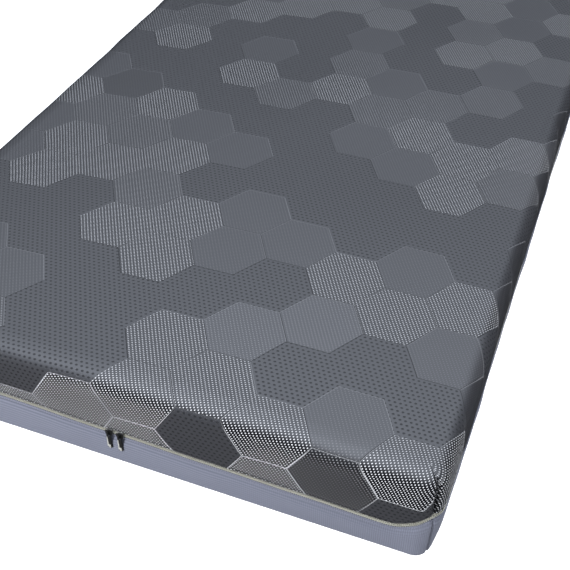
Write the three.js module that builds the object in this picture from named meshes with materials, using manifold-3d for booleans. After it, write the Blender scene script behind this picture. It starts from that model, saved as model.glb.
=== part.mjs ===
// A single foam mattress in a two-part knitted cover that a zip joins all the way round.
// Millimetres, +Z up. The foot end faces -Y, the length runs along Y, the width along X.

import * as THREE from 'three';
import { mergeVertices } from 'three/addons/utils/BufferGeometryUtils.js';
import Module from 'manifold-3d';

const wasm = await Module();
wasm.setup();

// Whole mattress
const mattressWidth = 900;
const mattressLength = 2000;
const shoulderHeight = 154;
const crownHeight = 5;
const crownFlatness = 4;
const crownEdge = 0.25;
const cornerRadius = 30;
const shoulderRadius = 24;
const footRadius = 3;
const pieceGap = 0.4;

// Steps along the width, the length and each corner
const widthSteps = 20;
const lengthSteps = 50;
const cornerSteps = 5;
const shoulderSteps = 4;
const footSteps = 3;

// The recess that the zip lies in, and the hems on each side of it
const zipInset = 5;
const recessReach = 5.6;
const hemInset = 1.3;
const hemThickness = 0.8;
const hemSwell = 9;
const bellyBulge = 1.2;
const partingHeight = 60;

// How much of an edge hollow reaches each level of the side
const hollowShare = { hem: 0.3, belly: 0.6, lyingFace: 0.4, sag: 0.25, lowerCover: 0.3 };

// Zip
const tapeThickness = 1.1;
const tapeReach = 5.1;
const coilThickness = 2.2;
const coilReach = 2.8;
const zipGap = 0.35;

// Sliders and pulls, seen from the foot end
const sliderLength = 10;
const sliderReach = 4.5;
const sliderSkin = 1.6;
const bridgeWidth = 2.4;
const bridgeReach = 3.6;
const bridgeThickness = 1;
const bridgeRise = 3.6;
const metalChamfer = 0.8;
const channelDepth = 1.5;
const rootDepth = 0.5;
const pullLength = 29;
const pullTopWidth = 5.6;
const pullEndWidth = 7;
const pullThickness = 1.3;
const pullStandoff = 0.5;
const eyeWidth = 3.4;
const eyeLength = 5;
const eyeRim = 1.5;
const shoulderDrop = 0.6;
const shoulderFlat = 0.4;
const curveSteps = 6;
const sliderPlaces = [
  { name: 'left', x: -4.9 },
  { name: 'right', x: 11.6 },
];

// Height of the zip above the base. `along` runs round the mattress from the middle of the
// foot end: right-hand corner, head end, left-hand corner.
const halfWidth = mattressWidth / 2;
const halfLength = mattressLength / 2;
const roundLength = 2 * (mattressWidth + mattressLength);
const rightFoot = halfWidth;
const rightHead = rightFoot + mattressLength;
const leftHead = rightHead + mattressWidth;
const leftFoot = leftHead + mattressLength;
const zipLine = [
  { along: 0, height: 57.3 },
  { along: 140, height: 53.6 },
  { along: 270, height: 51.2 },
  { along: 385, height: 48.5 },
  { along: rightFoot + 5, height: 80 },
  { along: rightFoot + 90, height: 58 },
  { along: rightFoot + 700, height: 55 },
  { along: rightFoot + 1300, height: 60 },
  { along: rightHead - 90, height: 57 },
  { along: rightHead, height: 74 },
  { along: rightHead + 90, height: 55 },
  { along: rightHead + 450, height: 60 },
  { along: leftHead - 90, height: 56 },
  { along: leftHead, height: 75 },
  { along: leftHead + 90, height: 58 },
  { along: leftHead + 800, height: 61 },
  { along: leftHead + 1500, height: 56 },
  { along: leftFoot - 90, height: 58 },
  { along: leftFoot, height: 74 },
  { along: leftFoot + 90, height: 60 },
  { along: leftFoot + 270, height: 63 },
  { along: roundLength, height: 57.3 },
];

// Soft hollows where the cover lies loose over the rolled edge, and the swells between them
const edgeHollows = [
  { along: leftFoot - 150, reach: 90, depth: 2.5 },
  { along: leftFoot - 335, reach: 70, depth: -1.5 },
  { along: leftFoot - 460, reach: 65, depth: 0.6 },
  { along: leftFoot - 590, reach: 85, depth: 0.5 },
  { along: leftFoot - 740, reach: 75, depth: -0.6 },
  { along: leftFoot - 870, reach: 85, depth: -3.2 },
  { along: leftFoot - 960, reach: 80, depth: -3 },
  { along: leftFoot - 1060, reach: 100, depth: -5 },
  { along: leftFoot - 1230, reach: 100, depth: -1.5 },
  { along: leftFoot - 1390, reach: 110, depth: 3 },
  { along: leftFoot - 1680, reach: 120, depth: 2.5 },
  { along: rightFoot + 210, reach: 110, depth: -1.5 },
  { along: rightFoot + 430, reach: 110, depth: 2 },
  { along: rightFoot + 640, reach: 100, depth: -1.5 },
  { along: rightFoot + 860, reach: 110, depth: 2.5 },
  { along: rightFoot + 1120, reach: 120, depth: -1.5 },
  { along: rightFoot + 1430, reach: 130, depth: 2.5 },
  { along: rightFoot + 1760, reach: 110, depth: 2 },
  { along: rightHead + 220, reach: 90, depth: 2 },
  { along: rightHead + 480, reach: 100, depth: -1.5 },
  { along: rightHead + 710, reach: 90, depth: 2.5 },
  { along: 205, reach: 80, depth: 1.5 },
  { along: 330, reach: 70, depth: -1 },
  { along: roundLength - 260, reach: 110, depth: 1.5 },
];

// Low swells and hollows of the lying face
const topSwells = [
  { x: -210, y: -620, reach: 260, rise: 1.5 },
  { x: 180, y: -380, reach: 240, rise: -1.5 },
  { x: -120, y: -60, reach: 280, rise: -1.5 },
  { x: 230, y: 60, reach: 240, rise: 1.5 },
  { x: -200, y: 430, reach: 280, rise: 1.5 },
  { x: 160, y: 560, reach: 280, rise: -1.5 },
];

// Corner seams: how far they draw the cloth in, and the pucker at the top of each
const seamDepth = 2.2;
const lowerSeamDepth = 1.3;
const puckerDepth = 5;
const puckerHeight = 128;
const puckerReach = 26;
const seamCore = 1.5;

// The long sides lean in towards the base, and more so near the corners
const sideLean = 5;
const cornerLean = 4;
const cornerLeanReach = 130;

const finishes = {
  upperKnit: { color: 0x595d66, roughness: 0.9, metalness: 0 },
  lowerKnit: { color: 0x8a90a5, roughness: 0.9, metalness: 0 },
  tape: { color: 0x9a9788, roughness: 0.85, metalness: 0 },
  coil: { color: 0xa8a598, roughness: 0.6, metalness: 0 },
  metal: { color: 0x4b463b, roughness: 0.35, metalness: 0.9 },
};

// A smooth bump that is 1 at the middle and 0 at its reach
function swell(distance, reach) {
  const part = Math.min(Math.abs(distance) / reach, 1);
  return 0.5 + 0.5 * Math.cos(Math.PI * part);
}

function roundDistance(a, b) {
  const apart = Math.abs(a - b) % roundLength;
  return Math.min(apart, roundLength - apart);
}

function zipHeight(along) {
  const place = ((along % roundLength) + roundLength) % roundLength;
  const next = zipLine.findIndex((row) => row.along > place);
  const from = zipLine[next - 1];
  const to = zipLine[next];
  const part = (place - from.along) / (to.along - from.along);
  const ease = 0.5 - 0.5 * Math.cos(Math.PI * part);
  return from.height + (to.height - from.height) * ease;
}

function edgeHollow(along) {
  return edgeHollows.reduce(
    (sum, row) => sum + row.depth * swell(roundDistance(along, row.along), row.reach), 0);
}

function topHeight(x, y) {
  const across = 1 - (x / halfWidth) ** 2;
  const down = 1 - (y / halfLength) ** crownFlatness;
  let rise = crownHeight * Math.sqrt(Math.max(across * down, 0));
  for (const row of topSwells) rise += row.rise * swell(Math.hypot(x - row.x, y - row.y), row.reach);
  return shoulderHeight + rise * Math.min(across, down) ** crownEdge;
}

// Places round the mattress. Each has a foot point on the inner rectangle, a direction that
// points outwards, whether a corner seam runs there, and how near it is to a corner.
function makeStations() {
  const innerX = halfWidth - cornerRadius;
  const innerY = halfLength - cornerRadius;
  const sides = [
    { steps: widthSteps, from: [0, 0], step: [1, 0], out: -90, along: -halfWidth },
    { steps: lengthSteps, from: [1, 0], step: [0, 1], out: 0, along: rightFoot },
    { steps: widthSteps, from: [1, 1], step: [-1, 0], out: 90, along: rightHead },
    { steps: lengthSteps, from: [0, 1], step: [0, -1], out: 180, along: leftHead },
  ];
  const stations = [];
  for (const side of sides) {
    const runLength = side.step[0] === 0 ? mattressLength : mattressWidth;
    const straight = runLength - 2 * cornerRadius;
    for (let n = 0; n <= side.steps; n += 1) {
      const part = n / side.steps;
      const toCorner = cornerRadius + Math.min(part, 1 - part) * straight;
      const column = side.from[0] * widthSteps + side.step[0] * n;
      const row = side.from[1] * lengthSteps + side.step[1] * n;
      stations.push({
        x: (2 * column / widthSteps - 1) * innerX,
        y: (2 * row / lengthSteps - 1) * innerY,
        turn: THREE.MathUtils.degToRad(side.out),
        along: side.along + cornerRadius + part * straight,
        seam: 0,
        corner: swell(toCorner, cornerLeanReach),
        gridPlace: [column, row],
      });
    }
    const last = stations[stations.length - 1];
    for (let n = 1; n < 2 * cornerSteps; n += 1) {
      const part = n / (2 * cornerSteps);
      stations.push({
        ...last,
        turn: last.turn + part * Math.PI / 2,
        along: last.along + part * 2 * cornerRadius,
        seam: n === cornerSteps ? 1 : 0,
        corner: swell((2 * part - 1) * cornerRadius, cornerLeanReach),
      });
    }
  }
  return stations;
}

const stations = makeStations();

// The point of a station's profile that lies `inset` inside the widest outline at height z
function profilePoint(station, inset, z) {
  const out = cornerRadius - inset;
  return new THREE.Vector3(
    station.x + Math.cos(station.turn) * out, station.y + Math.sin(station.turn) * out, z);
}

// A closed solid collected as points and triangles
class Solid {
  points = [];
  faces = [];

  add(point) {
    this.points.push(point.x, point.y, point.z);
    return this.points.length / 3 - 1;
  }

  face(a, b, c) {
    if (a !== b && b !== c && c !== a) this.faces.push(a, b, c);
  }

  quad(a, b, c, d) {
    this.face(a, b, c);
    this.face(a, c, d);
  }

  geometry() {
    const shape = new THREE.BufferGeometry();
    shape.setAttribute('position', new THREE.Float32BufferAttribute(this.points, 3));
    shape.setIndex(this.faces);
    return shape;
  }
}

// Rings of points, the lowest first, joined by bands of faces
function addBands(solid, rings) {
  const placed = rings.map((ring) => ring.map((point) => solid.add(point)));
  for (let level = 0; level + 1 < placed.length; level += 1) {
    const [low, high] = [placed[level], placed[level + 1]];
    low.forEach((start, n) => {
      const next = (n + 1) % low.length;
      solid.quad(start, low[next], high[next], high[n]);
    });
  }
  return placed;
}

// Faces between the ring that ends a side and the border of the panel that closes it
function addRim(solid, ring, border, facesUp) {
  ring.forEach((start, n) => {
    const next = (n + 1) % ring.length;
    if (facesUp) solid.quad(start, ring[next], border[next], border[n]);
    else solid.quad(border[next], ring[next], start, border[n]);
  });
}

// The lying face: a grid of points that follows the crown
function addCrownedPanel(solid, ring) {
  const grid = [];
  const innerX = halfWidth - cornerRadius;
  const innerY = halfLength - cornerRadius;
  for (let row = 0; row <= lengthSteps; row += 1) {
    const y = (2 * row / lengthSteps - 1) * innerY;
    grid.push([]);
    for (let column = 0; column <= widthSteps; column += 1) {
      const x = (2 * column / widthSteps - 1) * innerX;
      grid[row].push(solid.add(new THREE.Vector3(x, y, topHeight(x, y))));
    }
  }
  for (let row = 0; row < lengthSteps; row += 1) {
    for (let column = 0; column < widthSteps; column += 1) {
      solid.quad(grid[row][column], grid[row][column + 1],
        grid[row + 1][column + 1], grid[row + 1][column]);
    }
  }
  addRim(solid, ring, stations.map(({ gridPlace: [column, row] }) => grid[row][column]), true);
}

// A level panel inside a ring
function addLevelPanel(solid, ring, height, facesUp) {
  const borderIndex = new Map();
  const outline = [];
  const border = stations.map((station) => {
    const key = station.gridPlace.join();
    if (!borderIndex.has(key)) {
      borderIndex.set(key, solid.add(new THREE.Vector3(station.x, station.y, height)));
      outline.push({ key, point: new THREE.Vector2(station.x, station.y) });
    }
    return borderIndex.get(key);
  });
  const triangles = THREE.ShapeUtils.triangulateShape(outline.map((row) => row.point), []);
  for (const triangle of triangles) {
    const [a, b, c] = triangle.map((n) => borderIndex.get(outline[n].key));
    if (facesUp) solid.face(a, b, c);
    else solid.face(a, c, b);
  }
  addRim(solid, ring, border, facesUp);
}

function seamInset(station, z) {
  const pucker = puckerDepth * swell(z - puckerHeight, puckerReach);
  return station.seam * (seamDepth + pucker);
}

function upperCover() {
  const solid = new Solid();
  const bend = shoulderHeight - shoulderRadius;
  const side = (station) => {
    const zip = zipHeight(station.along);
    const hollow = edgeHollow(station.along);
    const belly = (zip + recessReach + bend) / 2;
    const levels = [
      { inset: zipInset, z: zip + pieceGap / 2 },
      { inset: zipInset, z: zip + recessReach },
      { inset: hemInset, z: zip + recessReach + hemThickness },
      { inset: hollowShare.hem * hollow, z: zip + recessReach + hemSwell },
      { inset: hollowShare.belly * hollow - bellyBulge, z: belly },
    ];
    for (let n = 0; n <= shoulderSteps; n += 1) {
      const angle = n / shoulderSteps * Math.PI / 2;
      const fade = Math.cos(angle);
      const share = hollowShare.lyingFace + (1 - hollowShare.lyingFace) * fade;
      const sag = hollowShare.sag * hollow * (1 - fade);
      levels.push({
        inset: shoulderRadius * (1 - fade) + share * hollow,
        z: bend + shoulderRadius * Math.sin(angle) - sag,
      });
    }
    return levels.map(({ inset, z }) => {
      const drawnIn = z > zip + recessReach + hemThickness / 2 ? seamInset(station, z) : 0;
      return profilePoint(station, Math.min(inset + drawnIn, cornerRadius - seamCore), z);
    });
  };
  const columns = stations.map(side);
  const rings = columns[0].map((unused, level) => columns.map((column) => column[level]));
  const placed = addBands(solid, rings);
  addCrownedPanel(solid, placed[placed.length - 1]);
  addLevelPanel(solid, placed[0], partingHeight + pieceGap / 2, false);
  return solid.geometry();
}

function lowerCover() {
  const solid = new Solid();
  const side = (station) => {
    const zip = zipHeight(station.along);
    const hollow = hollowShare.lowerCover * edgeHollow(station.along);
    const levels = [];
    for (let n = 0; n <= footSteps; n += 1) {
      const angle = n / footSteps * Math.PI / 2;
      const inset = footRadius * (1 - Math.sin(angle));
      levels.push({ inset, z: footRadius * (1 - Math.cos(angle)) });
    }
    levels.push(
      { inset: hollow - bellyBulge, z: zip / 2 },
      { inset: hollow - bellyBulge / 2, z: zip - recessReach - hemSwell },
      { inset: hemInset, z: zip - recessReach - hemThickness },
      { inset: zipInset, z: zip - recessReach },
      { inset: zipInset, z: zip - pieceGap / 2 },
    );
    const lean = (sideLean + cornerLean * station.corner) * Math.cos(station.turn) ** 2;
    return levels.map(({ inset, z }) => {
      const low = Math.max(0, 1 - z / (zip - recessReach));
      const drawnIn = z < zip - recessReach - hemThickness / 2 ? lowerSeamDepth * station.seam : 0;
      return profilePoint(station, inset + lean * low + drawnIn, z);
    });
  };
  const columns = stations.map(side);
  const rings = columns[0].map((unused, level) => columns.map((column) => column[level]));
  const placed = addBands(solid, rings);
  addLevelPanel(solid, placed[placed.length - 1], partingHeight - pieceGap / 2, true);
  addLevelPanel(solid, placed[0], 0, false);
  return solid.geometry();
}

// A band of four-sided section that runs round the mattress at the zip
function zipBand(innerInset, outerInset, lowest, highest) {
  const solid = new Solid();
  const corners = [
    { inset: innerInset, rise: lowest },
    { inset: outerInset, rise: lowest },
    { inset: outerInset, rise: highest },
    { inset: innerInset, rise: highest },
  ];
  const rings = corners.map(({ inset, rise }) => stations.map((station) => solid.add(
    profilePoint(station, inset, zipHeight(station.along) + rise))));
  stations.forEach((unused, n) => {
    const next = (n + 1) % stations.length;
    corners.forEach((alsoUnused, corner) => {
      const [here, there] = [rings[corner], rings[(corner + 1) % corners.length]];
      solid.quad(here[n], here[next], there[next], there[n]);
    });
  });
  return solid.geometry();
}

const tapeInner = zipInset - zipGap;
const tapeOuter = tapeInner - tapeThickness;
const coilInner = tapeOuter - zipGap;
const coilOuter = coilInner - coilThickness;

// Geometry to a manifold solid and back, for the joined metal pieces
function toManifold(geometry) {
  const bare = geometry.index ? geometry.clone() : geometry;
  bare.deleteAttribute('normal');
  bare.deleteAttribute('uv');
  const merged = mergeVertices(bare, 1e-4);
  const mesh = new wasm.Mesh({
    numProp: 3,
    vertProperties: new Float32Array(merged.attributes.position.array),
    triVerts: new Uint32Array(merged.index.array),
  });
  return new wasm.Manifold(mesh);
}

function fromManifold(solid) {
  const { vertProperties, triVerts } = solid.getMesh();
  const geometry = new THREE.BufferGeometry();
  geometry.setAttribute('position', new THREE.Float32BufferAttribute(vertProperties, 3));
  geometry.setIndex(Array.from(triVerts));
  return geometry;
}

function outline(points) {
  return new THREE.Shape(points.map(([x, y]) => new THREE.Vector2(x, y)));
}

// Turns a profile drawn as (out, up) and extruded by `width` so that it faces the foot end
function extrudeAcross(shape, width) {
  const geometry = new THREE.ExtrudeGeometry(shape, { depth: width, bevelEnabled: false });
  geometry.translate(0, 0, -width / 2);
  geometry.applyMatrix4(new THREE.Matrix4().makeBasis(
    new THREE.Vector3(0, -1, 0), new THREE.Vector3(0, 0, 1), new THREE.Vector3(-1, 0, 0)));
  return geometry;
}

// The slider hugs the coil and carries a bridge for the pull. Out 0 is the widest outline.
function sliderShape() {
  const back = -coilOuter - channelDepth;
  const face = -coilOuter + zipGap;
  const front = face + sliderSkin;
  const bevel = front - metalChamfer;
  const cheek = coilReach + zipGap;
  const channel = outline([
    [back, -sliderReach], [bevel, -sliderReach], [front, -sliderReach + metalChamfer],
    [front, sliderReach - metalChamfer], [bevel, sliderReach], [back, sliderReach],
    [back, cheek], [face, cheek], [face, -cheek], [back, -cheek],
  ]);
  const root = front - rootDepth;
  const top = front + bridgeRise;
  const underside = top - bridgeThickness;
  const innerReach = bridgeReach - bridgeThickness;
  const bridge = outline([
    [root, -bridgeReach], [top - metalChamfer, -bridgeReach], [top, -bridgeReach + metalChamfer],
    [top, bridgeReach - metalChamfer], [top - metalChamfer, bridgeReach], [root, bridgeReach],
    [root, innerReach], [underside, innerReach], [underside, -innerReach], [root, -innerReach],
  ]);
  const body = toManifold(extrudeAcross(channel, sliderLength));
  return fromManifold(body.add(toManifold(extrudeAcross(bridge, bridgeWidth))));
}

// The pull hangs in the bridge by its eye
function pullShape() {
  const top = -bridgeReach + bridgeThickness + zipGap + eyeRim;
  const bottom = top - pullLength;
  const halfTop = pullTopWidth / 2;
  const halfEnd = pullEndWidth / 2;
  const shoulder = top - halfTop * shoulderDrop;
  const crest = halfTop * shoulderFlat;
  const plate = new THREE.Shape();
  plate.moveTo(-halfTop, shoulder);
  plate.lineTo(-halfEnd, bottom + halfEnd);
  plate.absarc(0, bottom + halfEnd, halfEnd, Math.PI, 2 * Math.PI, false);
  plate.lineTo(halfTop, shoulder);
  plate.quadraticCurveTo(halfTop, top, crest, top);
  plate.lineTo(-crest, top);
  plate.quadraticCurveTo(-halfTop, top, -halfTop, shoulder);
  const eye = new THREE.Path();
  const halfEye = eyeWidth / 2;
  const eyeTop = top - eyeRim;
  eye.moveTo(-halfEye, eyeTop);
  eye.lineTo(halfEye, eyeTop);
  eye.lineTo(halfEye, eyeTop - eyeLength);
  eye.lineTo(-halfEye, eyeTop - eyeLength);
  plate.holes.push(eye);
  const geometry = new THREE.ExtrudeGeometry(plate, {
    depth: pullThickness, bevelEnabled: false, curveSegments: curveSteps,
  });
  geometry.rotateX(Math.PI / 2);
  const out = -coilOuter + zipGap + sliderSkin + pullStandoff;
  geometry.translate(0, -out, 0);
  return geometry;
}

function addPiece(parent, name, geometry, finish) {
  const mesh = new THREE.Mesh(geometry, new THREE.MeshStandardMaterial(finish));
  mesh.name = name;
  parent.add(mesh);
  return mesh;
}

const mattress = new THREE.Group();
addPiece(mattress, 'upper_cover', upperCover(), finishes.upperKnit);
addPiece(mattress, 'lower_cover', lowerCover(), finishes.lowerKnit);
addPiece(mattress, 'zip_tape_upper',
  zipBand(tapeInner, tapeOuter, pieceGap / 2, tapeReach), finishes.tape);
addPiece(mattress, 'zip_tape_lower',
  zipBand(tapeInner, tapeOuter, -tapeReach, -pieceGap / 2), finishes.tape);
addPiece(mattress, 'zip_coil', zipBand(coilInner, coilOuter, -coilReach, coilReach), finishes.coil);
for (const { name, x } of sliderPlaces) {
  const place = new THREE.Group();
  place.position.set(x, -halfLength, zipHeight(x));
  addPiece(place, `slider_${name}`, sliderShape(), finishes.metal);
  addPiece(place, `pull_${name}`, pullShape(), finishes.metal);
  mattress.add(place);
}

// The origin is under the middle of the whole mattress, sliders included
const bounds = new THREE.Box3().setFromObject(mattress, true);
const middle = bounds.getCenter(new THREE.Vector3());
mattress.position.set(-middle.x, -middle.y, -bounds.min.z);

export default mattress;
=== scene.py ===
# A foam mattress in a knitted cover of two halves, which a zip joins all the way round. Metres.
import math
from functools import partial

import bmesh
import bpy
import numpy as np
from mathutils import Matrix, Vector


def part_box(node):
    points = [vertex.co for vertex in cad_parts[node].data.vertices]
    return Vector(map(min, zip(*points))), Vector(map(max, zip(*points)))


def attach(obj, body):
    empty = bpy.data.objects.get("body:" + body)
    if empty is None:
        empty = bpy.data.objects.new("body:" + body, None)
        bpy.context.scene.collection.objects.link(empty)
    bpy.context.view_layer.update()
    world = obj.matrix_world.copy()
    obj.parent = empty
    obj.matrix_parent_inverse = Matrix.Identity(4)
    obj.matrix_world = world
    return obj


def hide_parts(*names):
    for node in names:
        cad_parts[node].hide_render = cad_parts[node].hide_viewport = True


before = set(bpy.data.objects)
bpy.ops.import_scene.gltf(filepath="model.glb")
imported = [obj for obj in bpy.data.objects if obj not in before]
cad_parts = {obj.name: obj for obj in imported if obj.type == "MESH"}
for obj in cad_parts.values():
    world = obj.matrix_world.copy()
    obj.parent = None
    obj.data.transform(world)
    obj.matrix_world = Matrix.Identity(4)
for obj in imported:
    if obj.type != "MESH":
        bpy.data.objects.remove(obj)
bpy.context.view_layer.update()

print("stage: frame loaded")


def addObject(name, data):
    made = bpy.data.objects.new(name, data)
    bpy.context.scene.collection.objects.link(made)
    return made


mattress = {
    "coilInset": 0.001,  # the coil's face lies this far inside the widest outline
    "shoulderHeight": 0.154, "crownHeight": 0.005, "crownFlatness": 4, "crownEdge": 0.25,
    "cornerRadius": 0.03, "shoulderRadius": 0.024, "footRadius": 0.003,
    "partingHeight": 0.06, "pieceGap": 0.0004,
}
halfGap = mattress["pieceGap"] / 2
coilBox = np.array(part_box("zip_coil"))
halfWidth, halfLength = (coilBox[1] - coilBox[0])[:2] / 2 + mattress["coilInset"]
middle = coilBox.mean(axis=0) * (1, 1, 0)
roundLength = 4 * (halfWidth + halfLength)

# The camera stands at the foot end, to the right, and looks down along the mattress
view = {"place": (0.5203, -1.6943, 1.0537), "tilt": 48.81, "heading": 21.26, "lens": 60.23, "sensor": 36}
cameraData = bpy.data.cameras.new("camera")
cameraData.lens = view["lens"]
cameraData.sensor_width = view["sensor"]
camera = addObject("camera", cameraData)
camera.location = np.array(view["place"]) + middle
camera.rotation_euler = (math.radians(view["tilt"]), 0, math.radians(view["heading"]))
bpy.context.scene.camera = camera

# `along` runs round the mattress from the middle of the foot end, by the right-hand side
rightFoot = halfWidth
rightHead = rightFoot + 2 * halfLength
leftHead = rightHead + 2 * halfWidth
leftFoot = leftHead + 2 * halfLength
zipLine = [  # along, height
    (corner + past, height) for corner, heights in (
        (0, [(0, 0.0573), (0.14, 0.0536), (0.27, 0.0512), (0.385, 0.0485)]),
        (rightFoot, [(0.005, 0.08), (0.09, 0.058), (0.7, 0.055), (1.3, 0.06)]),
        (rightHead, [(-0.09, 0.057), (0, 0.074), (0.09, 0.055), (0.45, 0.06)]),
        (leftHead, [(-0.09, 0.056), (0, 0.075), (0.09, 0.058), (0.8, 0.061), (1.5, 0.056)]),
        (leftFoot, [(-0.09, 0.058), (0, 0.074), (0.09, 0.06), (0.27, 0.063)]), (roundLength, [(0, 0.0573)]))
    for past, height in heights
]
edgeHollows = [  # along, reach, depth
    (corner + past, reach, depth) for corner, hollows in (
        (leftFoot, [
            (-0.15, 0.09, 0.0025), (-0.335, 0.07, -0.0015), (-0.46, 0.065, 0.0006),
            (-0.59, 0.085, 0.0005), (-0.74, 0.075, -0.0006), (-0.87, 0.085, -0.0032),
            (-0.96, 0.08, -0.003), (-1.06, 0.1, -0.005), (-1.23, 0.1, -0.0015),
            (-1.39, 0.11, 0.003), (-1.68, 0.12, 0.0025)]),
        (rightFoot, [
            (0.21, 0.11, -0.0015), (0.43, 0.11, 0.002), (0.64, 0.1, -0.0015), (0.86, 0.11, 0.0025),
            (1.12, 0.12, -0.0015), (1.43, 0.13, 0.0025), (1.76, 0.11, 0.002)]),
        (rightHead, [(0.22, 0.09, 0.002), (0.48, 0.1, -0.0015), (0.71, 0.09, 0.0025)]),
        (0, [(0.205, 0.08, 0.0015), (0.33, 0.07, -0.001)]), (roundLength, [(-0.26, 0.11, 0.0015)]))
    for past, reach, depth in hollows
]
topSwells = [  # x, y, reach, rise
    (-0.21, -0.62, 0.26, 0.0015), (0.18, -0.38, 0.24, -0.0015),
    (-0.12, -0.06, 0.28, -0.0015), (0.23, 0.06, 0.24, 0.0015),
    (-0.2, 0.43, 0.28, 0.0015), (0.16, 0.56, 0.28, -0.0015),
]
hollowShare = {"hem": 0.3, "belly": 0.6, "lyingFace": 0.4, "sag": 0.25, "lowerCover": 0.3}


def swell(distance, reach):
    return 0.5 + 0.5 * np.cos(np.pi * np.clip(np.abs(distance) / reach, 0, 1))


def roundDistance(a, b):
    apart = np.mod(np.abs(a - b), roundLength)
    return np.minimum(apart, roundLength - apart)


def zipHeight(along):
    place = np.mod(along, roundLength)
    starts, heights = np.array(zipLine).T
    n = np.clip(np.searchsorted(starts, place, side="right") - 1, 0, len(starts) - 2)
    part = (place - starts[n]) / (starts[n + 1] - starts[n])
    return heights[n] + (heights[n + 1] - heights[n]) * (0.5 - 0.5 * np.cos(np.pi * part))


def edgeHollow(along):
    return sum(depth * swell(roundDistance(along, at), reach) for at, reach, depth in edgeHollows)


def ripple(along, waves):
    return sum(size * np.sin(2 * np.pi * count * along / roundLength + start)
               for count, size, start in waves)


def topHeight(x, y):
    across = 1 - (x / halfWidth) ** 2
    down = 1 - (y / halfLength) ** mattress["crownFlatness"]
    rise = mattress["crownHeight"] * np.sqrt(np.maximum(across * down, 0))
    for atX, atY, reach, size in topSwells:
        rise = rise + size * swell(np.hypot(x - atX, y - atY), reach)
    return mattress["shoulderHeight"] + rise * np.minimum(across, down) ** mattress["crownEdge"]


# Places round the mattress, where its sides are drawn. The grid is that of the lying face.
ringSteps = {"across": 112, "down": 250, "corner": 12}
innerX = halfWidth - mattress["cornerRadius"]
innerY = halfLength - mattress["cornerRadius"]


def makeStations(across, down, corner):
    rows = []
    sides = [(across, (0, 0), (1, 0), -halfWidth), (down, (1, 0), (0, 1), rightFoot),
             (across, (1, 1), (-1, 0), rightHead), (down, (0, 1), (0, -1), leftHead)]
    radius = mattress["cornerRadius"]
    for side, (steps, start, step, along) in enumerate(sides):
        straight = 2 * (innerX if step[0] else innerY)
        turn = (side - 1) * math.pi / 2
        for n in range(steps + 1):
            column = start[0] * across + step[0] * n
            row = start[1] * down + step[1] * n
            place = along + radius + n / steps * straight
            rows.append((column, row, turn, place, side, radius + min(n, steps - n) / steps * straight))
        for n in range(1, 2 * corner):
            part = n / (2 * corner)
            rows.append((column, row, turn + part * math.pi / 2, place + part * 2 * radius,
                         side if n < corner else (side + 1) % 4, abs(2 * part - 1) * radius))
    column, row, turn, place, side, toCorner = np.array(rows).T
    return {
        "column": column.astype(int), "row": row.astype(int),
        "x": (2 * column / across - 1) * innerX, "y": (2 * row / down - 1) * innerY,
        "turn": turn, "along": place, "side": side.astype(int), "toCorner": toCorner,
        "grid": (across, down),
    }


stations = makeStations(**ringSteps)
zipLevel = zipHeight(stations["along"])
nextAlong = np.roll(stations["along"], -1)
nextAlong = np.where(nextAlong < stations["along"], nextAlong + roundLength, nextAlong)


def sideBySide(*parts):
    return np.stack(parts, axis=-1)


def ringPoints(inset, height):
    out = mattress["cornerRadius"] - inset
    return sideBySide(stations["x"] + np.cos(stations["turn"]) * out,
                      stations["y"] + np.sin(stations["turn"]) * out, height + 0 * stations["x"])


def clothPlaces(side, inset, fall, shift=0):
    # Where the cloth of a side lies when it is spread flat with the lying face
    x, y, turn = (np.roll(stations[name], -shift) for name in ("x", "y", "turn"))
    facing = (side - 1) * np.pi / 2
    bend = np.mod(turn - facing + np.pi, 2 * np.pi) - np.pi
    out = mattress["cornerRadius"] - inset
    run = -x * np.sin(facing) + y * np.cos(facing) + out * bend
    reach = np.where(side % 2 == 0, halfLength, halfWidth) - mattress["shoulderRadius"] + fall
    return sideBySide(-np.sin(facing) * run + np.cos(facing) * reach,
                      np.cos(facing) * run + np.sin(facing) * reach)


class Cloth:
    # Points, faces and spread-flat places of a sewn piece
    def __init__(self):
        self.points, self.faces, self.places, self.count = [], [], [], 0

    def add(self, points):
        flat = points.reshape(-1, 3)
        self.points.append(flat)
        index = np.arange(self.count, self.count + len(flat)).reshape(points.shape[:-1])
        self.count += len(flat)
        return index

    def addFaces(self, faces, places):
        self.faces += faces.reshape(-1, faces.shape[-1]).tolist()
        self.places.append(places.reshape(-1, 2))

    def band(self, low, high, lowPlaces, highPlaces):
        # Each pair of places is (at the station, at the next one), both on the station's side
        faces = sideBySide(low, np.roll(low, -1), np.roll(high, -1), high)
        places = np.stack([lowPlaces[0], lowPlaces[1], highPlaces[1], highPlaces[0]], axis=1)
        highMeets, lowMeets = faces[:, 2] == faces[:, 3], faces[:, 0] == faces[:, 1]
        whole = ~(highMeets | lowMeets)
        for chosen, kept in ((whole, [0, 1, 2, 3]), (highMeets, [0, 1, 2]), (lowMeets, [1, 2, 3])):
            self.addFaces(faces[chosen][:, kept], places[chosen][:, kept])

    def rows(self, rings, places):
        for n in range(len(rings) - 1):
            self.band(rings[n], rings[n + 1], places[n], places[n + 1])

    def object(self, name, material, sharp=50):
        mesh = bpy.data.meshes.new(name)
        mesh.from_pydata(np.concatenate(self.points) + middle, [], self.faces)
        layer = mesh.uv_layers.new(name="cloth")
        layer.data.foreach_set("uv", np.concatenate(self.places).astype(np.float32).ravel())
        mesh.shade_smooth()
        mesh.set_sharp_from_angle(angle=math.radians(sharp))
        mesh.materials.append(material)
        return addObject(name, mesh)


def atBorder(grid):
    return grid[stations["row"], stations["column"]]


def gridPoints(height):
    x, y = np.meshgrid(*((2 * np.arange(steps + 1) / steps - 1) * inner
                         for steps, inner in zip(stations["grid"], (innerX, innerY))))
    return sideBySide(x, y, height(x, y))


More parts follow.
